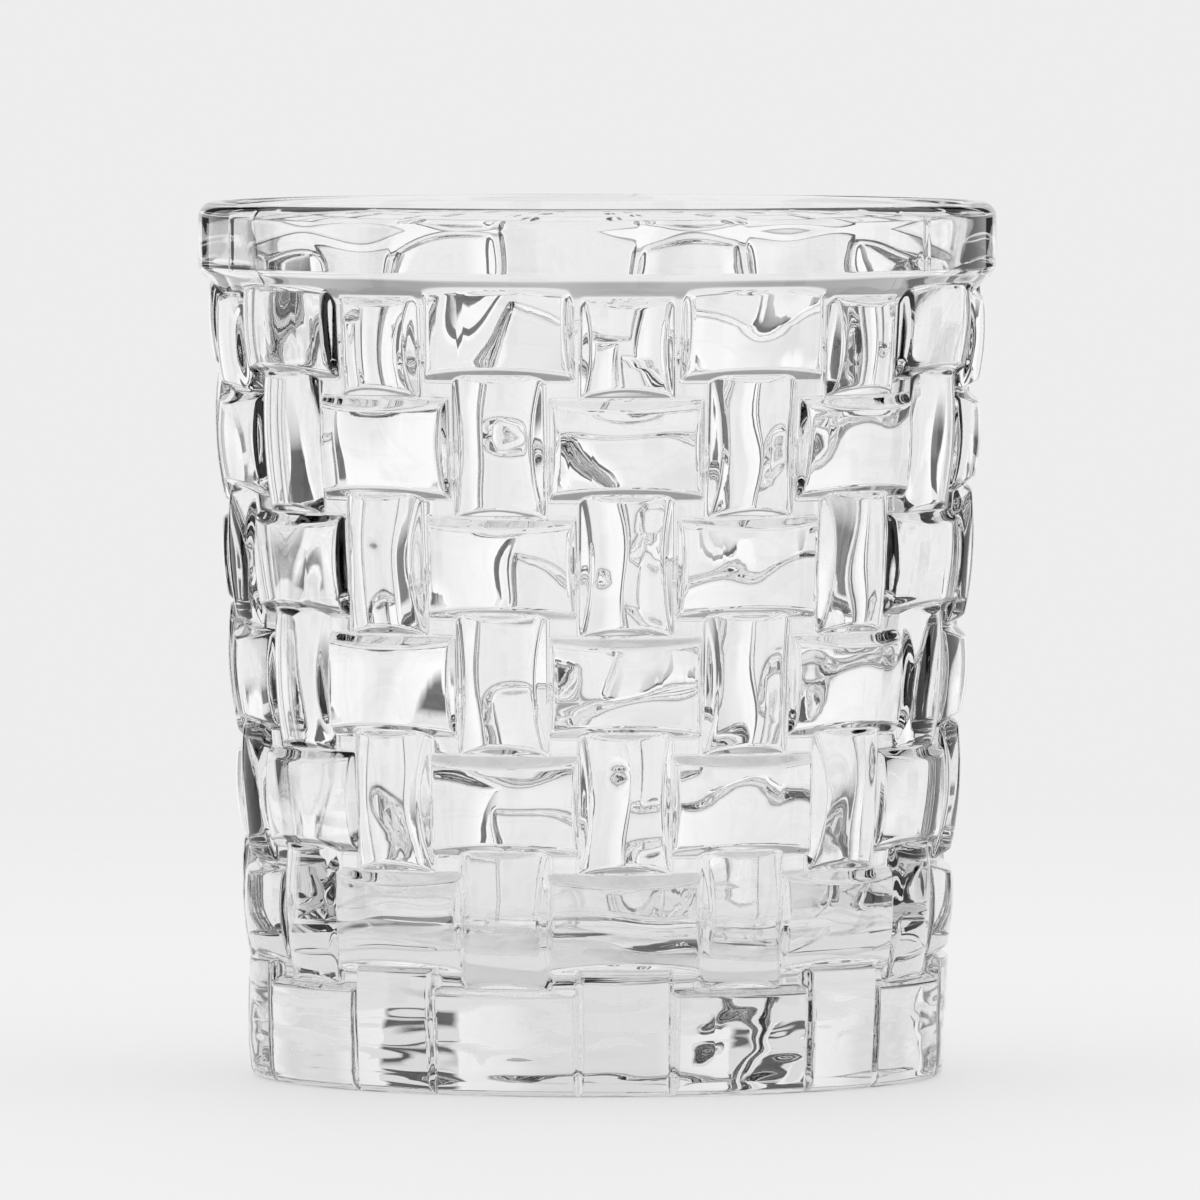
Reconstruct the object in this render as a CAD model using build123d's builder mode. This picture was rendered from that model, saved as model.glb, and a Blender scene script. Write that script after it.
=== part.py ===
"""Pressed-glass whiskey tumbler with a basket-weave relief, in millimetres.

One piece of clear glass: a tapered cup with a thick base, a plain band round the rim, six rows of
woven strand blocks below it, and a seventh row of flatter blocks round the base.
The origin is at the centre of the foot, on the plane that the tumbler stands on, and +Z is up.
Azimuths are measured from -Y towards +X.
"""

from build123d import *

import os
from math import atan, cos, sin, tan

# Overall sizes
HEIGHT = 98.6
RIM_RADIUS = 45.0
FOOT_RADIUS = 39.2
WEAVE_SLOPE = 0.056  # how far the outside widens for each millimetre up

# Rim band
BAND_BOTTOM = 91.0  # the band's underside slopes in at 45 degrees from here
BAND_EDGE = 0.8
LIP_OUTER = 1.7
LIP_INNER = 0.9
SEAM_WIDTH = 0.6
SEAM_HEIGHT = 0.12
SEAM_ROOT = 1.0
SEAM_COUNT = 3
SEAM_COLUMN = 2.5  # the first seam stands midway between two columns of blocks

# Woven blocks
COLUMNS = 18
ROW_PITCH = 13.2
TOP_ROW = 85.1  # height of the first row's centre
WOVEN_ROWS = 6
RELIEF = 2.0  # how far a block's crown stands above the ground of the weave
COLUMN_AZIMUTH = 4.6  # azimuth of one column's centre
SUNK = 1.4  # how deep a block's foot reaches into the wall
CLEAR = 0.5  # how far a block's walls pass its face before the face trims them
CROWN_REACH = 0.8  # half the length of the barrel that trims a block, for each millimetre of the block
UPRIGHT_WIDTH = 11.0
UPRIGHT_BELOW = 7.57  # from the row's centre down to the end of an upright block
UPRIGHT_ABOVE = 8.6
UPRIGHT_SIDE_SLOPE = 1.0  # rise of the walls for each millimetre across
UPRIGHT_END_SLOPE = 1.43
UPRIGHT_ACROSS = 13.0  # radius of the face across it, on top of the tumbler's own round
UPRIGHT_UP = 43.0  # radius of the face from bottom to top
LEVEL_WIDTH = 18.0
LEVEL_HALF_HEIGHT = 5.63
LEVEL_SIDE_SLOPE = 2.1
LEVEL_END_SLOPE = 1.2
LEVEL_ACROSS = 54.0
LEVEL_UP = 25.0

# The first row's uprights are cut short by the neck under the band
SHORT_UPRIGHT_ABOVE = 3.8
SHORT_UPRIGHT_UP = 28.0

# Base row, whose blocks run down past the foot
BASE_RELIEF = 1.1
BASE_SLOPE = 2.14
BASE_BOTTOM = -1.0
BASE_UPRIGHT_WIDTH = 10.6
BASE_UPRIGHT_TOP = 14.0
BASE_LEVEL_WIDTH = 16.9
BASE_LEVEL_TOP = 11.6
BASE_ACROSS = 500.0
BASE_UP = 150.0
STEP_BOTTOM = 10.8  # the ground steps in here, from the base row to the weave
STEP_TOP = 11.8
FOOT_EDGE = 1.3

# Inside
CAVITY_FLOOR = 12.5
CAVITY_RIM_RADIUS = 41.8
CAVITY_FLOOR_RADIUS = 33.4
CAVITY_CORNER = 9.0
DISH_RADIUS = 30.0
DISH_DEPTH = 0.6


def crest(z):
    """Outer radius of the block crowns at a height."""
    return FOOT_RADIUS + WEAVE_SLOPE * z


def neck_height():
    """Height where the band's sloping underside meets the ground of the weave."""
    return (BAND_BOTTOM - RIM_RADIUS + FOOT_RADIUS - RELIEF) / (1 - WEAVE_SLOPE)


def wall_plane(z, relief):
    """Plane on the ground of the weave, on the +X side, with +Y of the plane up the wall."""
    tilt = atan(WEAVE_SLOPE)
    normal = (cos(tilt), 0, -sin(tilt))
    return Plane(origin=(crest(z) - relief, 0, z), x_dir=(0, 1, 0), z_dir=normal)


def crown(plane, relief, length, across, up):
    """A barrel whose surface is the rounded face of a block."""
    axis_origin = plane.from_local_coords((0, 0, relief - across))
    side_plane = Plane(origin=axis_origin, x_dir=plane.z_dir, z_dir=plane.x_dir)
    reach = CROWN_REACH * length
    drop = up - (up**2 - reach**2) ** 0.5
    with BuildPart() as barrel:
        with BuildSketch(side_plane):
            with BuildLine():
                arch = ThreePointArc((across - drop, -reach), (across, 0), (across - drop, reach))
                Polyline(arch @ 1, (0, reach), (0, -reach), arch @ 0)
            make_face()
        revolve(axis=Axis(axis_origin, tuple(plane.y_dir)))
    return barrel.part


def crowned_block(z, width, below, above, relief, side_slope, end_slope, across, up):
    """A block on the +X side, with sloping walls and a face that is rounded both ways."""
    length = below + above
    ground = crest(z) - relief
    plane = wall_plane(z + (above - below) / 2, relief)
    half_angle = width / 2 / crest(z)
    foot_half = ground * sin(half_angle)
    foot_depth = ground * (1 - cos(half_angle))
    side_rise = tan(atan(side_slope) + half_angle)
    flat_across = 1 / (1 / across + 1 / crest(z))
    face = crown(plane, relief, length, flat_across, up)
    with BuildPart() as block:
        for height in (-SUNK, relief + CLEAR):
            with BuildSketch(plane.offset(height)):
                half_width = foot_half - (height + foot_depth) / side_rise
                Rectangle(2 * half_width, length - 2 * height / end_slope)
        loft()
        add(face, mode=Mode.INTERSECT)
    return block.part


def column_angle(column):
    """Angle of a column's centre from +X, counter-clockwise."""
    return COLUMN_AZIMUTH + column * 360 / COLUMNS - 90


def row_blocks(row):
    """The upright and the level block of one row, each with the column that it starts from."""
    z = TOP_ROW - row * ROW_PITCH
    if row == WOVEN_ROWS:
        walls = (BASE_RELIEF, BASE_SLOPE, BASE_SLOPE, BASE_ACROSS, BASE_UP)
        upright = crowned_block(z, BASE_UPRIGHT_WIDTH, z - BASE_BOTTOM, BASE_UPRIGHT_TOP - z, *walls)
        level = crowned_block(z, BASE_LEVEL_WIDTH, z - BASE_BOTTOM, BASE_LEVEL_TOP - z, *walls)
    else:
        above = SHORT_UPRIGHT_ABOVE if row == 0 else UPRIGHT_ABOVE
        up = SHORT_UPRIGHT_UP if row == 0 else UPRIGHT_UP
        upright = crowned_block(
            z, UPRIGHT_WIDTH, UPRIGHT_BELOW, above,
            RELIEF, UPRIGHT_SIDE_SLOPE, UPRIGHT_END_SLOPE, UPRIGHT_ACROSS, up,
        )
        level = crowned_block(
            z, LEVEL_WIDTH, LEVEL_HALF_HEIGHT, LEVEL_HALF_HEIGHT,
            RELIEF, LEVEL_SIDE_SLOPE, LEVEL_END_SLOPE, LEVEL_ACROSS, LEVEL_UP,
        )
    return [(upright, row % 2), (level, (row + 1) % 2)]


with BuildPart() as tumbler:
    # Plain body: the ground of the base row and of the weave, the neck and the rim band
    with BuildSketch(Plane.XZ) as body:
        with BuildLine():
            lower_wall = Line((crest(0) - BASE_RELIEF, 0), (crest(STEP_BOTTOM) - BASE_RELIEF, STEP_BOTTOM))
            step = Line(lower_wall @ 1, (crest(STEP_TOP) - RELIEF, STEP_TOP))
            upper_wall = Line(step @ 1, (crest(neck_height()) - RELIEF, neck_height()))
            underside = Line(upper_wall @ 1, (RIM_RADIUS, BAND_BOTTOM))
            band = Line(underside @ 1, (RIM_RADIUS, HEIGHT))
            Polyline(band @ 1, (0, HEIGHT), (0, 0), lower_wall @ 0)
        make_face()
        fillet(body.vertices().group_by(Axis.X)[-1].sort_by(Axis.Y)[0], BAND_EDGE)
        fillet(body.vertices().group_by(Axis.Y)[-1].sort_by(Axis.X)[-1], LIP_OUTER)
    revolve(axis=Axis.Z)

    # Woven blocks, and the flatter ones round the base
    blocks = []
    for row in range(WOVEN_ROWS + 1):
        for block, first_column in row_blocks(row):
            angle = column_angle(first_column)
            blocks += [loc * block for loc in PolarLocations(0, COLUMNS // 2, angle)]
    add(blocks)

    # Fine mould seams on the rim band
    with PolarLocations(0, SEAM_COUNT, column_angle(SEAM_COLUMN)):
        with Locations((RIM_RADIUS + SEAM_HEIGHT, 0, BAND_BOTTOM + BAND_EDGE)):
            Box(
                SEAM_ROOT + SEAM_HEIGHT, SEAM_WIDTH, HEIGHT - LIP_OUTER - BAND_BOTTOM - BAND_EDGE,
                align=(Align.MAX, Align.CENTER, Align.MIN),
            )

    # Anything below the standing plane goes, and the edge of the foot is rounded
    split(bisect_by=Plane.XY, keep=Keep.TOP)
    with BuildSketch(Plane.XZ):
        with BuildLine():
            foot = crest(0) - FOOT_EDGE
            foot_round = CenterArc((foot, FOOT_EDGE), FOOT_EDGE, -90, 90)
            Polyline(foot_round @ 1, (RIM_RADIUS, FOOT_EDGE), (RIM_RADIUS, 0), foot_round @ 0)
        make_face()
    revolve(axis=Axis.Z, mode=Mode.SUBTRACT)

    # Inside of the cup, with the inner edge of the lip rounded over
    with BuildSketch(Plane.XZ):
        with BuildLine():
            floor = Line((0, CAVITY_FLOOR), (CAVITY_FLOOR_RADIUS, CAVITY_FLOOR))
            wall = Line(floor @ 1, (CAVITY_RIM_RADIUS, HEIGHT - LIP_INNER))
            lip = CenterArc((CAVITY_RIM_RADIUS + LIP_INNER, HEIGHT - LIP_INNER), LIP_INNER, 180, -90)
            Polyline(lip @ 1, (0, HEIGHT), floor @ 0)
        cavity_face = make_face()
        fillet(cavity_face.vertices().group_by(Axis.Y)[0].sort_by(Axis.X)[-1], CAVITY_CORNER)
    revolve(axis=Axis.Z, mode=Mode.SUBTRACT)

    # Shallow dish under the base, which leaves a flat ring to stand on
    with BuildSketch(Plane.XZ):
        with BuildLine():
            dish = ThreePointArc((-DISH_RADIUS, 0), (0, DISH_DEPTH), (DISH_RADIUS, 0))
            Line(dish @ 1, dish @ 0)
        make_face()
        split(bisect_by=Plane.YZ, keep=Keep.TOP)
    revolve(axis=Axis.Z, mode=Mode.SUBTRACT)

tumbler.part.label = "tumbler"
os.makedirs("parts", exist_ok=True)
export_step(tumbler.part, "parts/tumbler.step")
print("solids", len(tumbler.part.solids()), "volume cm3", round(tumbler.part.volume / 1000, 2))
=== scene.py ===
"""Clear pressed-glass tumbler with a basket-weave relief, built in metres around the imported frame.

The glass is one closed mesh: rings of points round the axis, from the underside's centre over the lip
to the floor of the cup. Azimuths are measured from -Y towards +X.
"""

import math

import bpy
import numpy as np
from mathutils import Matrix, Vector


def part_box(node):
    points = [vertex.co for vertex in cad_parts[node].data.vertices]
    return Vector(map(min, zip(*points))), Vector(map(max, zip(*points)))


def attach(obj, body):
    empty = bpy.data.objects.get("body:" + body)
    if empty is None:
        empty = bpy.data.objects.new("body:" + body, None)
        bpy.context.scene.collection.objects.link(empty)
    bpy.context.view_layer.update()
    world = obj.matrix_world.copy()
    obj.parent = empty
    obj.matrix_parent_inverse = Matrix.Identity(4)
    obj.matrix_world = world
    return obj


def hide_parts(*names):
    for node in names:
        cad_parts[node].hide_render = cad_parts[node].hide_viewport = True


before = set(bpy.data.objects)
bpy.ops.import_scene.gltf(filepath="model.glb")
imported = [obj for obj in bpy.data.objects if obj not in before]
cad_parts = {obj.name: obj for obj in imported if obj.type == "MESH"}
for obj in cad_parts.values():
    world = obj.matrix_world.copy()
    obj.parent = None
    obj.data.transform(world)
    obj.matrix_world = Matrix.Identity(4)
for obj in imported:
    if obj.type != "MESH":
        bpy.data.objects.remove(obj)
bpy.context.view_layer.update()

MM = 0.001

# Overall sizes, from the frame
LOW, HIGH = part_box("tumbler")
HEIGHT = HIGH.z - LOW.z
RIM_RADIUS = (HIGH.x - LOW.x) / 2

# Outside
FOOT_RADIUS = 39.2 * MM
WEAVE_SLOPE = 0.056
FOOT_EDGE = 1.3 * MM
BAND_BOTTOM = 91.0 * MM
BAND_CHAMFER = 1.0
BAND_START = BAND_BOTTOM - 0.2 * MM  # from here up, the outline is the band's alone
BAND_EDGE_TOP = BAND_BOTTOM + 0.5 * MM  # the band's rounded lower edge ends here
BAND_SOFTNESS = 0.5 * MM
NECK_SOFTNESS = 0.6 * MM
LIP_OUTER = 1.7 * MM
LIP_INNER = 0.9 * MM
SEAM_WIDTH = 0.45 * MM
SEAM_HEIGHT = 0.10 * MM
SEAM_FADE = 0.3 * MM
SEAM_COUNT = 3
SEAM_COLUMN = 2.5  # the first seam stands midway between two columns of blocks

# Weave
COLUMNS = 18
COLUMN_STEP = 2 * math.pi / COLUMNS
COLUMN_AZIMUTH = math.radians(4.6)
ROW_PITCH = 13.2 * MM
TOP_ROW = 85.1 * MM
WOVEN_ROWS = 6
RELIEF = 2.0 * MM
CROWN_SOFTNESS = 0.26 * MM
FOOT_SOFTNESS = 0.20 * MM
UPRIGHT_HALF = 5.5 * MM
UPRIGHT_BELOW = 7.57 * MM
UPRIGHT_ABOVE = 8.6 * MM
UPRIGHT_ROUND = 13.0 * MM
UPRIGHT_ARCH = 43.0 * MM
UPRIGHT_STEEPNESS = (1.0, 1.43)
SHORT_UPRIGHT_ABOVE = 3.8 * MM
SHORT_UPRIGHT_ARCH = 28.0 * MM
LEVEL_HALF = 9.0 * MM
LEVEL_STEEPNESS = (2.1, 1.2)
LEVEL_BELOW = 5.63 * MM
LEVEL_ROUND = 54.0 * MM
LEVEL_ARCH = 25.0 * MM

# Base row, whose blocks run down past the foot
BASE_RELIEF = 1.1 * MM
BASE_STEEPNESS = (2.14, 2.14)
BASE_PAST_FOOT = 5 * MM
BASE_UPRIGHT_HALF = 5.3 * MM
BASE_UPRIGHT_TOP = 14.0 * MM
BASE_LEVEL_HALF = 8.45 * MM
BASE_LEVEL_TOP = 11.6 * MM
BASE_ROUND = 500.0 * MM
BASE_ARCH = 150.0 * MM
STEP_BOTTOM = 10.8 * MM  # the ground steps in here, from the base row to the weave
STEP_RISE = 1.0 * MM

# Inside and underside
CAVITY_FLOOR = 12.5 * MM
CAVITY_RIM_RADIUS = 41.8 * MM
CAVITY_FLOOR_RADIUS = 33.4 * MM
CAVITY_CORNER = 9.0 * MM
DISH_RADIUS = 30.0 * MM
DISH_DEPTH = 0.6 * MM
STANDING_RING = (30.6 * MM, 34 * MM, 37 * MM)

# Mesh spacing across the blocks' walls and edges, and over the faces that need less
FINE_STEP = 0.17 * MM
SIDE_STOPS = [(0, 3.9 * MM, 0.65 * MM), (3.9 * MM, 6.5 * MM, FINE_STEP)]
GAP_STEP = 0.4 * MM
SPACING_HEIGHT = 50 * MM  # the spacing round the tumbler is measured at this height
BASE_FACE_TOP = 9.5 * MM
BASE_FACE_STEP = 0.35 * MM
FACE_HALF = 4 * MM
FACE_STEP = 0.7 * MM
TOP_FACE_ABOVE = 0.5 * MM
BAND_EDGE_STEP = 0.1 * MM
BAND_STEP = 0.8 * MM

# Rings of points over the rest of the outline
DISH_RINGS = 18
FOOT_RING_DEGREES = 9
LIP_START_DEGREES = 10
LIP_OUTER_RINGS = 9
LIP_INNER_RINGS = 7
CAVITY_WALL_RINGS = 62
CAVITY_WALL_MARGIN = 0.015  # share of the wall that is left clear at each end
CAVITY_CORNER_RINGS = 14
CAVITY_FLOOR_RINGS = 14
CAVITY_FLOOR_START = 0.93  # the floor's first and innermost rings, as shares of its radius
INNERMOST = 0.02

# Unevenness of the pressed glass, as waves over the surface
SEED = 5
WAVE_COUNT = 16
WAVE_LONGEST = 40.0 * MM
WAVE_SHORTEST = 7.0 * MM
INNER_SLOPE = 0.045
INNER_SLOPE_NECK = 0.02
OUTER_SLOPE = 0.012
FOOT_SLOPE = 0.035
CUP_FLOOR_SLOPE = 0.09
OUTSIDE_SLOPES = [(0, 0), (2 * MM, FOOT_SLOPE), (9 * MM, FOOT_SLOPE), (14 * MM, OUTER_SLOPE), (HEIGHT, 0)]
INSIDE_SLOPES = [(80 * MM, INNER_SLOPE), (90 * MM, INNER_SLOPE_NECK), (HEIGHT, 0)]

# Fine level streaks round the base row, which fade in and out between these heights
STREAK_LONGEST = 6.0 * MM
STREAK_SHORTEST = 1.6 * MM
STREAK_STRETCH = 3.0  # how much longer they are round the base than up it
STREAK_SLOPE = 0.045
STREAK_HEIGHTS = [2 * MM, 4 * MM, 9 * MM, 11 * MM]

# Ripple inside the rim: lobes round it, their share, and where they start
RIPPLE = 0.15 * MM
RIPPLE_HEIGHT = 90.0 * MM
RIPPLE_SPREAD = 5.0 * MM
RIPPLE_LOBES = [(7, 1.0, 0.4), (11, 0.8, 2.0), (17, 0.5, 0.0)]

# Glass
GLASS_IOR = 1.52
GLASS_GREY = 0.5
GLASS_DENSITY = 5.0

# Floor, in metres from the tumbler's centre
FLOOR_GREY = 0.45
FLOOR_ROUGHNESS = 0.7
FLOOR_GLOW = 0.46
FLOOR_SOLID = 0.25
FLOOR_REACH = 0.55
FLOOR_SIDES = 96

# Light tent: grey levels across half a panel, and from the horizon to overhead
PANELS = 8
PANEL_STOPS = [(0.0, 0.85), (0.30, 0.85), (0.45, 0.98), (0.74, 1.05), (0.79, 0.10), (1.0, 0.07)]
RISE_STOPS = [(0.0, 1.0), (0.20, 0.95), (0.26, 0.40), (1.0, 0.40)]
OPEN_STOPS = [(0.0, 0.0), (0.006, 0.85), (0.05, 0.85), (0.07, 0.0), (0.33, 0.0), (0.355, 0.95), (1.0, 1.05)]

# Camera, in metres and millimetres of lens
CAMERA_SIDE = 0.0003
CAMERA_DISTANCE = 2.0
CAMERA_HEIGHT = 0.138
AIM_HEIGHT = 0.0536
LENS = 532
SENSOR = 36
CLIP_END = 100
LIGHT_BOUNCES = 24


def crest(z):
    """Outer radius of the block crowns at a height."""
    return FOOT_RADIUS + WEAVE_SLOPE * z


def soft_min(a, b, k):
    """The smaller of two values, blended where they are within k of each other."""
    return np.minimum(a, b) - np.maximum(k - np.abs(a - b), 0) ** 2 / (4 * k)


def soft_max(a, b, k):
    """The larger of two values, blended where they are within k of each other."""
    return -soft_min(-a, -b, k)


def block_offset(u, w, half, below, above, relief, steepness, round_radius, arch_radius):
    """How far a block stands from the crest cone: 0 on its crown, and falling to its sloping sides.
    The steepness is that of the walls to its left and right, and of those above and below it."""
    middle = (above - below) / 2
    face = -u**2 / (2 * round_radius) - (w - middle) ** 2 / (2 * arch_radius)
    side = steepness[0] * (half - np.abs(u)) - relief
    ends = steepness[1] * np.minimum(below + w, above - w) - relief
    return soft_min(face, soft_min(side, ends, CROWN_SOFTNESS), CROWN_SOFTNESS)


def upright_offset(u, w, row, z_row):
    """Offset of an upright block, u across and w up from the centre of its row."""
    if row == WOVEN_ROWS:
        return block_offset(
            u, w, BASE_UPRIGHT_HALF, z_row + BASE_PAST_FOOT, BASE_UPRIGHT_TOP - z_row,
            BASE_RELIEF, BASE_STEEPNESS, BASE_ROUND, BASE_ARCH,
        )
    if row == 0:
        return block_offset(
            u, w, UPRIGHT_HALF, UPRIGHT_BELOW, SHORT_UPRIGHT_ABOVE,
            RELIEF, UPRIGHT_STEEPNESS, UPRIGHT_ROUND, SHORT_UPRIGHT_ARCH,
        )
    return block_offset(
        u, w, UPRIGHT_HALF, UPRIGHT_BELOW, UPRIGHT_ABOVE,
        RELIEF, UPRIGHT_STEEPNESS, UPRIGHT_ROUND, UPRIGHT_ARCH,
    )


def level_offset(u, w, row, z_row):
    """Offset of a level block, u across and w up from the centre of its row."""
    if row == WOVEN_ROWS:
        return block_offset(
            u, w, BASE_LEVEL_HALF, z_row + BASE_PAST_FOOT, BASE_LEVEL_TOP - z_row,
            BASE_RELIEF, BASE_STEEPNESS, BASE_ROUND, BASE_ARCH,
        )
    return block_offset(
        u, w, LEVEL_HALF, LEVEL_BELOW, LEVEL_BELOW,
        RELIEF, LEVEL_STEEPNESS, LEVEL_ROUND, LEVEL_ARCH,
    )


def weave_offset(azimuth, z):
    """Offset of the relief from the crest cone, over a grid of azimuths and heights."""
    ramp = np.clip((z - STEP_BOTTOM) / STEP_RISE, 0, 1)
    ground = -(BASE_RELIEF + (RELIEF - BASE_RELIEF) * ramp)
    total = ground + 0 * azimuth
    turn = (azimuth - COLUMN_AZIMUTH) / COLUMN_STEP
    nearest = np.rint(turn)
    for row in range(WOVEN_ROWS + 1):
        z_row = TOP_ROW - row * ROW_PITCH
        w = z - z_row
        near = np.abs(w) < ROW_PITCH
        for step in (-1, 0, 1):
            column = nearest + step
            u = (turn - column) * COLUMN_STEP * crest(z)
            odd = (column + row) % 2 == 1
            block = np.where(odd, level_offset(u, w, row, z_row), upright_offset(u, w, row, z_row))
            total = np.where(near, soft_max(total, block, FOOT_SOFTNESS), total)
    return total


def band_radius(z):
    """Outside of the rim band, with the chamfer under it running on down into the neck."""
    chamfer = RIM_RADIUS - BAND_CHAMFER * (BAND_BOTTOM - z)
    return soft_min(RIM_RADIUS, chamfer, BAND_SOFTNESS)


def seam_offset(azimuth, z):
    """Fine ridges that the parts of the mould leave on the band."""
    first = COLUMN_AZIMUTH + SEAM_COLUMN * COLUMN_STEP
    half_turn = math.pi / SEAM_COUNT
    away = (azimuth - first + half_turn) % (2 * half_turn) - half_turn
    ridge = np.exp(-((away * RIM_RADIUS / (SEAM_WIDTH / 2)) ** 2))
    fade = np.clip((z - BAND_BOTTOM) / SEAM_FADE, 0, 1)
    return SEAM_HEIGHT * ridge * fade


def outer_radius(azimuth, z):
    """Radius of the outside, with the weave, the band and the rounded foot, before any unevenness."""
    weave = crest(z) + weave_offset(azimuth, z)
    radius = np.where(z > BAND_START, band_radius(z), soft_max(weave, band_radius(z), NECK_SOFTNESS))
    radius = radius + seam_offset(azimuth, z)
    foot_drop = np.maximum(FOOT_EDGE - z, 0)
    foot = crest(0) - FOOT_EDGE + np.sqrt(np.maximum(FOOT_EDGE**2 - foot_drop**2, 0))
    return np.where(z < FOOT_EDGE, np.minimum(radius, foot), radius)


def spaced(stops):
    """Values from (start, end, step) stretches, without repeats."""
    out = []
    for start, end, step in stops:
        count = max(1, round((end - start) / step))
        out += list(start + (end - start) * np.arange(count) / count)
    return out + [stops[-1][1]]


def column_azimuths():
    """Azimuths round the tumbler, closer together where the blocks have their side walls."""
    half = crest(SPACING_HEIGHT) * COLUMN_STEP / 2
    side = spaced(SIDE_STOPS + [(SIDE_STOPS[-1][1], half, GAP_STEP)])
    fractions = [s / half / 2 for s in side]
    one = [-f for f in fractions[:0:-1]] + fractions[:-1]
    return np.array([COLUMN_AZIMUTH + (c + f) * COLUMN_STEP for c in range(COLUMNS) for f in one])


def weave_heights():
    """Heights up the outside, closer together where the blocks have their ends."""
    first_face = TOP_ROW - (WOVEN_ROWS - 1) * ROW_PITCH - FACE_HALF
    stops = [(FOOT_EDGE, BASE_FACE_TOP, BASE_FACE_STEP), (BASE_FACE_TOP, first_face, FINE_STEP)]
    for row in range(WOVEN_ROWS - 1, 0, -1):
        middle = TOP_ROW - row * ROW_PITCH
        stops.append((middle - FACE_HALF, middle + FACE_HALF, FACE_STEP))
        stops.append((middle + FACE_HALF, middle + ROW_PITCH - FACE_HALF, FINE_STEP))
    stops.append((TOP_ROW - FACE_HALF, TOP_ROW + TOP_FACE_ABOVE, FACE_STEP))
    stops.append((TOP_ROW + TOP_FACE_ABOVE, BAND_START, FINE_STEP))
    stops.append((BAND_START, BAND_EDGE_TOP, BAND_EDGE_STEP))
    stops.append((BAND_EDGE_TOP, HEIGHT - LIP_OUTER, BAND_STEP))
    return spaced(stops)


def arc(centre_r, centre_z, radius, start, end, count):
    """Profile points along an arc, from one angle in degrees to another."""
    angles = np.radians(np.linspace(start, end, count))
    return [(centre_r + radius * math.cos(a), centre_z + radius * math.sin(a)) for a in angles]


def underside_profile():
    """The dish and the standing ring under the base, outwards, as (radius, height)."""
    dish = [(DISH_RADIUS * t, DISH_DEPTH * (1 - t**2)) for t in np.linspace(INNERMOST, 1, DISH_RINGS)]
    return dish + [(r, 0) for r in STANDING_RING]


def outside_heights():
    """Heights of the rings up the outside, from the rounded foot to the lip."""
    foot = [FOOT_EDGE * (1 - math.cos(math.radians(a))) for a in range(0, 90, FOOT_RING_DEGREES)]
    return foot + weave_heights()


def lip_profile():
    """Over the lip, inwards, as (radius, height)."""
    centre_r = RIM_RADIUS - LIP_OUTER
    outer = arc(centre_r, HEIGHT - LIP_OUTER, LIP_OUTER, LIP_START_DEGREES, 90, LIP_OUTER_RINGS)
    centre_r = CAVITY_RIM_RADIUS + LIP_INNER
    return outer + arc(centre_r, HEIGHT - LIP_INNER, LIP_INNER, 90, 180, LIP_INNER_RINGS)


def cavity_profile():
    """The inside, from the lip down to the floor's centre, as (radius, height)."""
    drop = HEIGHT - LIP_INNER - CAVITY_FLOOR
    lean = math.atan2(CAVITY_RIM_RADIUS - CAVITY_FLOOR_RADIUS, drop)
    tangent = CAVITY_CORNER * math.tan((math.pi / 2 - lean) / 2)
    centre_r = CAVITY_FLOOR_RADIUS - tangent
    centre_z = CAVITY_FLOOR + CAVITY_CORNER
    corner = arc(centre_r, centre_z, CAVITY_CORNER, math.degrees(-lean), -90, CAVITY_CORNER_RINGS)
    first_r, first_z = corner[0]
    wall = []
    for t in np.linspace(CAVITY_WALL_MARGIN, 1 - CAVITY_WALL_MARGIN, CAVITY_WALL_RINGS):
        wall.append((CAVITY_RIM_RADIUS + (first_r - CAVITY_RIM_RADIUS) * t,
                     HEIGHT - LIP_INNER + (first_z - HEIGHT + LIP_INNER) * t))
    shares = np.linspace(CAVITY_FLOOR_START, INNERMOST, CAVITY_FLOOR_RINGS)
    return wall + corner + [(centre_r * share, CAVITY_FLOOR) for share in shares]


def unevenness(x, y, z, longest=WAVE_LONGEST, shortest=WAVE_SHORTEST):
    """Gentle random waves with a typical slope of 1, for the surfaces that pressing leaves uneven."""
    rng = np.random.default_rng(SEED)
    total = 0
    for wavelength in np.geomspace(longest, shortest, WAVE_COUNT):
        direction = rng.normal(size=3)
        direction /= np.linalg.norm(direction)
        along = direction[0] * x + direction[1] * y + direction[2] * z
        total = total + wavelength * np.sin(2 * math.pi * along / wavelength + rng.uniform(0, 2 * math.pi))
    return total / (2 * math.pi * math.sqrt(WAVE_COUNT / 2))


def wall_waves(azimuths, radius, z, slopes):
    """Unevenness of a wall, fading out towards the lip. The slopes are (height, typical slope) stops."""
    slope = np.interp(z, [stop[0] for stop in slopes], [stop[1] for stop in slopes])
    return slope * unevenness(radius * np.sin(azimuths), -radius * np.cos(azimuths), z)


def level_waves(azimuths, radius, z):
    """Unevenness of a level surface: the floor of the cup, or the dish under the base."""
    return CUP_FLOOR_SLOPE * unevenness(radius * np.sin(azimuths), -radius * np.cos(azimuths), z)


def base_streaks(azimuths, radius, z):
    """Fine level streaks in the base row's faces, where the glass met the cold mould first."""
    fade = np.interp(z, STREAK_HEIGHTS, [0, 1, 1, 0])
    x = radius * np.sin(azimuths) / STREAK_STRETCH
    y = -radius * np.cos(azimuths) / STREAK_STRETCH
    return STREAK_SLOPE * fade * unevenness(x, y, z, STREAK_LONGEST, STREAK_SHORTEST)


def rim_ripple(azimuth, z):
    """Swells and hollows inside the cup, level with the neck, where the glass was thinnest in the mould."""
    around = sum(share * np.sin(lobes * azimuth + start) for lobes, share, start in RIPPLE_LOBES)
    return RIPPLE * around * math.exp(-(((z - RIPPLE_HEIGHT) / RIPPLE_SPREAD) ** 2))


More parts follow.
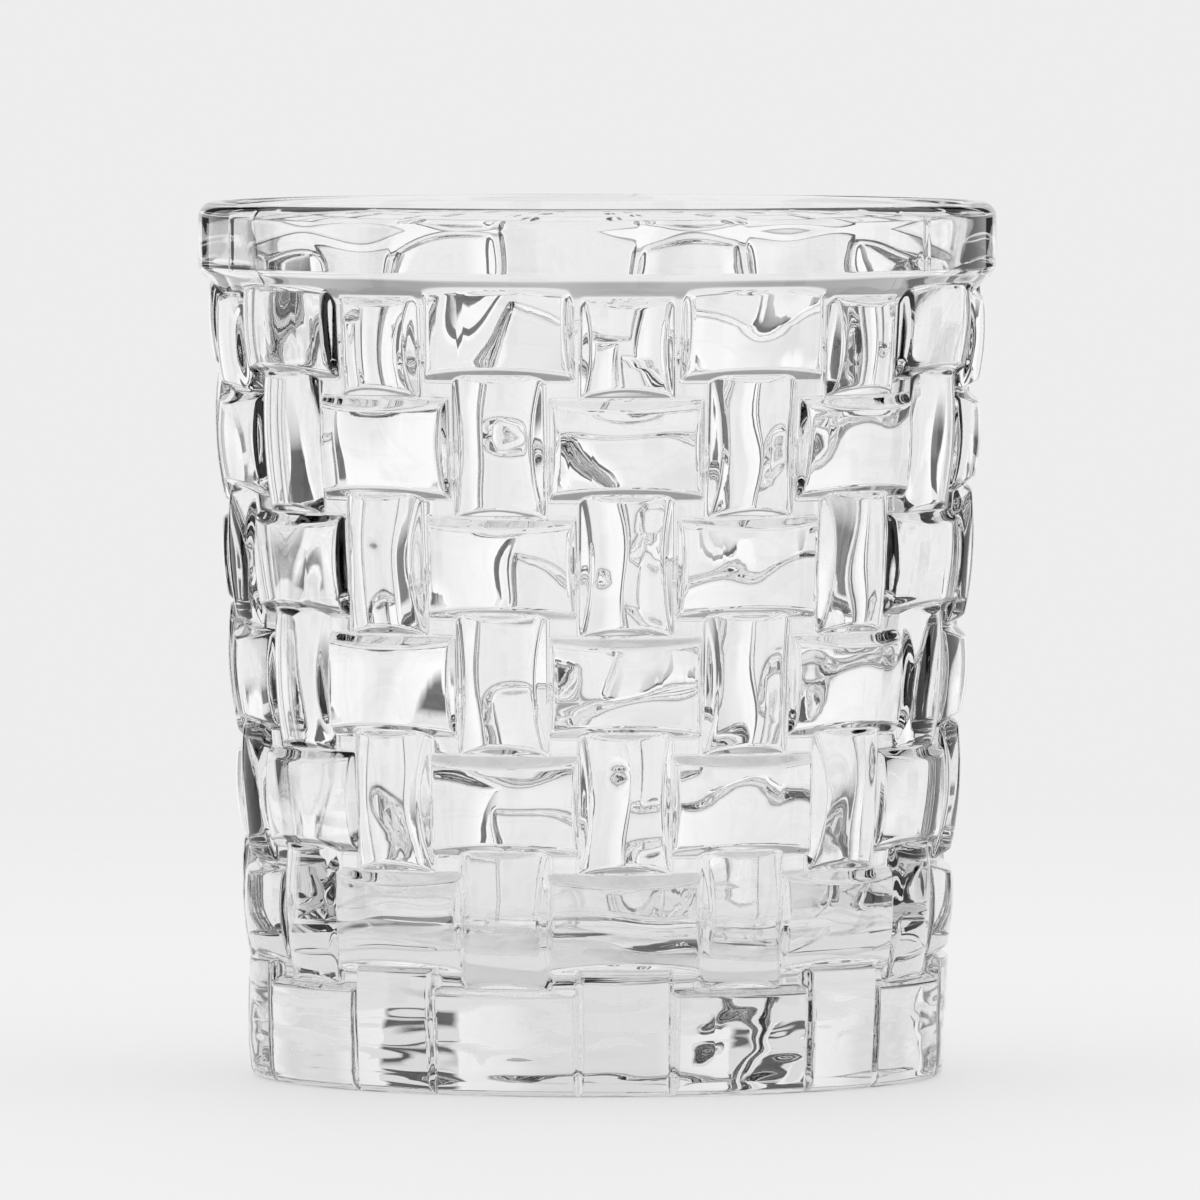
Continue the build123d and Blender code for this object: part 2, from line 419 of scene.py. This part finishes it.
def glass_rings(azimuths):
    """Every ring of the mesh, as the radii and the heights of its points, in order."""
    flat = np.zeros_like(azimuths)
    rings = []
    for r, z in underside_profile():
        fade = max(0, 1 - (r / DISH_RADIUS) ** 2)
        rings.append((flat + r, z + np.maximum(fade * level_waves(azimuths, r, z), -z)))
    for z in outside_heights():
        radius = outer_radius(azimuths, flat + z)
        waves = wall_waves(azimuths, radius, z, OUTSIDE_SLOPES) + base_streaks(azimuths, radius, z)
        rings.append((radius + waves, flat + z))
    rings += [(flat + r, flat + z) for r, z in lip_profile()]
    for r, z in cavity_profile():
        upright = min(1, max(0, (z - CAVITY_FLOOR) / CAVITY_CORNER))
        radius = r + upright * wall_waves(azimuths, r, z, INSIDE_SLOPES) + rim_ripple(azimuths, z)
        rings.append((radius, z + (1 - upright) * level_waves(azimuths, r, z)))
    return rings


def ring_faces(ring_count, ring_size):
    """Quads between neighbouring rings, and a fan of triangles at each end.
    The two centre points come after the rings: the underside's, then the cup floor's."""
    ring = np.arange(ring_size)
    after = (ring + 1) % ring_size
    quads = []
    for low in np.arange(ring_count - 1) * ring_size:
        high = low + ring_size
        quads.append(np.stack([low + ring, low + after, high + after, high + ring], axis=1))
    bottom = ring_count * ring_size
    last = (ring_count - 1) * ring_size
    fans = [(int(b), int(a), bottom) for a, b in zip(ring, after)]
    fans += [(int(last + a), int(last + b), bottom + 1) for a, b in zip(ring, after)]
    return np.concatenate(quads).tolist() + fans


def build_tumbler():
    """The whole tumbler as one closed, smooth-shaded mesh."""
    azimuths = column_azimuths()
    rings = glass_rings(azimuths)
    radii = np.array([r for r, z in rings])
    heights = np.array([z for r, z in rings])
    points = np.stack([radii * np.sin(azimuths), -radii * np.cos(azimuths), heights], axis=-1)
    centres = [[0, 0, heights[0].mean()], [0, 0, heights[-1].mean()]]
    verts = np.concatenate([points.reshape(-1, 3), centres])
    mesh = bpy.data.meshes.new("tumbler_glass")
    mesh.from_pydata(verts.tolist(), [], ring_faces(len(rings), len(azimuths)))
    mesh.polygons.foreach_set("use_smooth", [True] * len(mesh.polygons))
    mesh.update()
    obj = bpy.data.objects.new("tumbler_glass", mesh)
    bpy.context.scene.collection.objects.link(obj)
    return obj


def grey(level):
    """An opaque grey, as red, green, blue and alpha."""
    return (level, level, level, 1)


def glass_material():
    """Clear, smooth glass that darkens a little with depth."""
    material = bpy.data.materials.new("clear_pressed_glass")
    material.use_nodes = True
    tree = material.node_tree
    shader = tree.nodes["Principled BSDF"]
    shader.inputs["Base Color"].default_value = grey(1)
    shader.inputs["Roughness"].default_value = 0.0
    shader.inputs["IOR"].default_value = GLASS_IOR
    shader.inputs["Transmission Weight"].default_value = 1.0
    tint = tree.nodes.new("ShaderNodeVolumeAbsorption")
    tint.inputs["Color"].default_value = grey(GLASS_GREY)
    tint.inputs["Density"].default_value = GLASS_DENSITY
    tree.links.new(tint.outputs[0], tree.nodes["Material Output"].inputs["Volume"])
    return material


def floor_material():
    """Pale and matt, and fading out to the backdrop away from the tumbler."""
    material = bpy.data.materials.new("pale_floor")
    material.use_nodes = True
    tree = material.node_tree
    shader = tree.nodes["Principled BSDF"]
    shader.inputs["Base Color"].default_value = grey(FLOOR_GREY)
    shader.inputs["Roughness"].default_value = FLOOR_ROUGHNESS
    shader.inputs["Emission Color"].default_value = grey(1)
    shader.inputs["Emission Strength"].default_value = FLOOR_GLOW
    coord = tree.nodes.new("ShaderNodeTexCoord")
    distance = tree.nodes.new("ShaderNodeVectorMath")
    distance.operation = "LENGTH"
    tree.links.new(coord.outputs["Object"], distance.inputs[0])
    fade = add_ramp(tree, distance.outputs["Value"], [(FLOOR_SOLID, 1), (FLOOR_REACH, 0)])
    tree.links.new(fade, shader.inputs["Alpha"])
    return material


def build_floor():
    """A round floor that ends where its material has faded out."""
    bpy.ops.mesh.primitive_circle_add(
        vertices=FLOOR_SIDES, radius=FLOOR_REACH, fill_type="NGON", location=(0, 0, 0),
    )
    floor = bpy.context.object
    floor.name = "floor"
    floor.data.materials.append(floor_material())


def add_math(tree, operation, first, second=None):
    """The output of a math node whose inputs are numbers or other nodes' outputs."""
    node = tree.nodes.new("ShaderNodeMath")
    node.operation = operation
    for socket, value in zip(node.inputs, (first, second)):
        if isinstance(value, (int, float)):
            socket.default_value = value
        elif value is not None:
            tree.links.new(value, socket)
    return node.outputs[0]


def add_ramp(tree, value, stops):
    """A grey ramp over 0 to 1, from (position, level) stops."""
    ramp = tree.nodes.new("ShaderNodeValToRGB")
    elements = ramp.color_ramp.elements
    while len(elements) < len(stops):
        elements.new(0.5)
    for element, (position, level) in zip(elements, stops):
        element.position = position
        element.color = grey(level)
    tree.links.new(value, ramp.inputs["Fac"])
    return ramp.outputs["Color"]


def build_world():
    """A round light tent: white panels with narrow dark gaps, a dim ring above them, and a lit ceiling
    and a lit strip along the floor that have no gaps."""
    world = bpy.data.worlds.new("studio")
    world.use_nodes = True
    bpy.context.scene.world = world
    tree = world.node_tree
    coord = tree.nodes.new("ShaderNodeTexCoord")
    split = tree.nodes.new("ShaderNodeSeparateXYZ")
    tree.links.new(coord.outputs["Generated"], split.inputs[0])
    turn = add_math(tree, "ARCTAN2", split.outputs["X"], split.outputs["Y"])
    panel_turn = add_math(tree, "MULTIPLY", turn, PANELS / math.tau)
    panel = add_math(tree, "FRACT", add_math(tree, "ADD", panel_turn, 0.5))
    off_centre = add_math(tree, "ABSOLUTE", add_math(tree, "SUBTRACT", panel, 0.5))
    around = add_ramp(tree, add_math(tree, "MULTIPLY", off_centre, 2), PANEL_STOPS)
    rise = add_math(tree, "DIVIDE", add_math(tree, "ARCSINE", split.outputs["Z"]), math.pi / 2)
    upward = add_ramp(tree, rise, RISE_STOPS)
    open_parts = add_ramp(tree, rise, OPEN_STOPS)
    level = add_math(tree, "MAXIMUM", add_math(tree, "MULTIPLY", around, upward), open_parts)
    tree.links.new(level, tree.nodes["Background"].inputs["Color"])


def build_camera():
    """A long lens, a little above the rim and aimed at the middle of the tumbler."""
    data = bpy.data.cameras.new("camera")
    data.lens = LENS
    data.sensor_width = SENSOR
    data.clip_end = CLIP_END
    camera = bpy.data.objects.new("camera", data)
    bpy.context.scene.collection.objects.link(camera)
    camera.location = (CAMERA_SIDE, -CAMERA_DISTANCE, CAMERA_HEIGHT)
    pitch = math.atan2(CAMERA_HEIGHT - AIM_HEIGHT, CAMERA_DISTANCE)
    camera.rotation_euler = (math.pi / 2 - pitch, 0, 0)
    bpy.context.scene.camera = camera


scene = bpy.context.scene
scene.view_settings.view_transform = "Standard"
scene.cycles.max_bounces = LIGHT_BOUNCES
scene.cycles.transmission_bounces = LIGHT_BOUNCES

tumbler = build_tumbler()
tumbler.data.materials.append(glass_material())
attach(tumbler, "root")
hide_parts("tumbler")
build_floor()
build_world()
build_camera()

bpy.context.view_layer.update()
